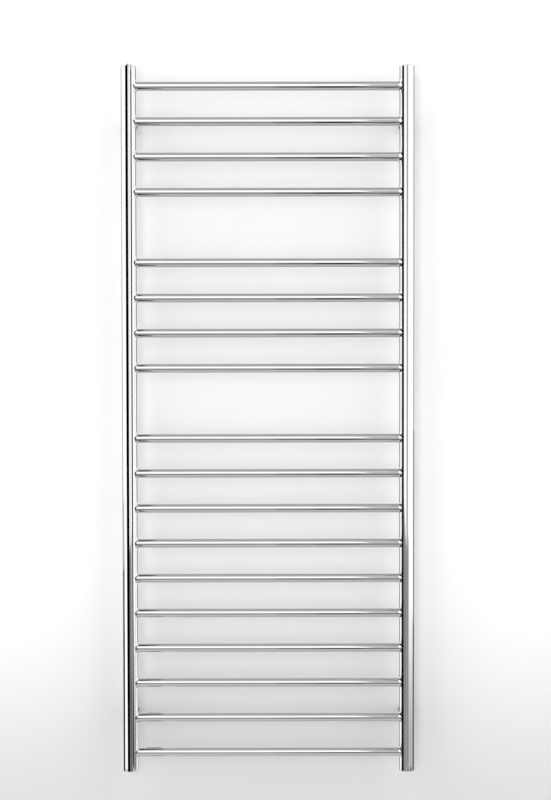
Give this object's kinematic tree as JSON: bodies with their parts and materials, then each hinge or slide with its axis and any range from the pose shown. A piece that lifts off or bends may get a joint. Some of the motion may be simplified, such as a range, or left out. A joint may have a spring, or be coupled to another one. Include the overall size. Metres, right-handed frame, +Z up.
{
  "type": "towel warmer rack",
  "caption": "Wall-hung ladder towel warmer: round polished steel posts joined by round rungs in groups with wider towel gaps, fed with hot water through the posts' lower ends.",
  "frame": {"origin": "on the wall, at the centre of the four wall fixings", "axes": "+Z up, +X to the right of a person who faces the rack, -Y out of the wall towards that person"},
  "size_m": [0.5, 0.1177, 1.2095],
  "materials": {
    "post_steel": "mirror-polished stainless steel, faint lengthwise polishing marks",
    "rung_steel": "mirror-polished stainless steel, faint lengthwise polishing marks",
    "fixing_steel": "polished stainless steel, turned",
    "chromed_brass": "bright chrome plate over turned brass",
    "zinc_plate": "satin zinc plate",
    "seal_rubber": "matte black"
  },
  "bodies": {
    "rail": {"post_left": "post_steel", "post_right": "post_steel", "rung_01": "rung_steel", "rung_02": "rung_steel", "rung_03": "rung_steel", "rung_04": "rung_steel", "rung_05": "rung_steel", "rung_06": "rung_steel", "rung_07": "rung_steel", "rung_08": "rung_steel", "rung_09": "rung_steel", "rung_10": "rung_steel", "rung_11": "rung_steel", "rung_12": "rung_steel", "rung_13": "rung_steel", "rung_14": "rung_steel", "rung_15": "rung_steel", "rung_16": "rung_steel", "rung_17": "rung_steel", "rung_18": "rung_steel", "port_bush_top_left": "post_steel", "port_bush_top_right": "post_steel", "port_bush_bottom_left": "post_steel", "port_bush_bottom_right": "post_steel", "vent_plug": "chromed_brass", "blanking_plug": "chromed_brass", "vent_plug_seal": "seal_rubber", "blanking_plug_seal": "seal_rubber", "rail_stub_upper_left": "fixing_steel", "wall_barrel_upper_left": "fixing_steel", "grub_screw_upper_left": "zinc_plate", "wall_screw_upper_left": "zinc_plate", "rail_stub_upper_right": "fixing_steel", "wall_barrel_upper_right": "fixing_steel", "grub_screw_upper_right": "zinc_plate", "wall_screw_upper_right": "zinc_plate", "rail_stub_lower_left": "fixing_steel", "wall_barrel_lower_left": "fixing_steel", "grub_screw_lower_left": "zinc_plate", "wall_screw_lower_left": "zinc_plate", "rail_stub_lower_right": "fixing_steel", "wall_barrel_lower_right": "fixing_steel", "grub_screw_lower_right": "zinc_plate", "wall_screw_lower_right": "zinc_plate"},
    "bleed": {"bleed_screw": "chromed_brass"}
  },
  "joints": [
    {"name": "bleed_screw_turn", "type": "hinge", "parent": "rail", "child": "bleed", "pos_m": [-0.2373, -0.06, 0.602], "axis": [0, 0, 1], "range_deg": [0, 360]}
  ]
}
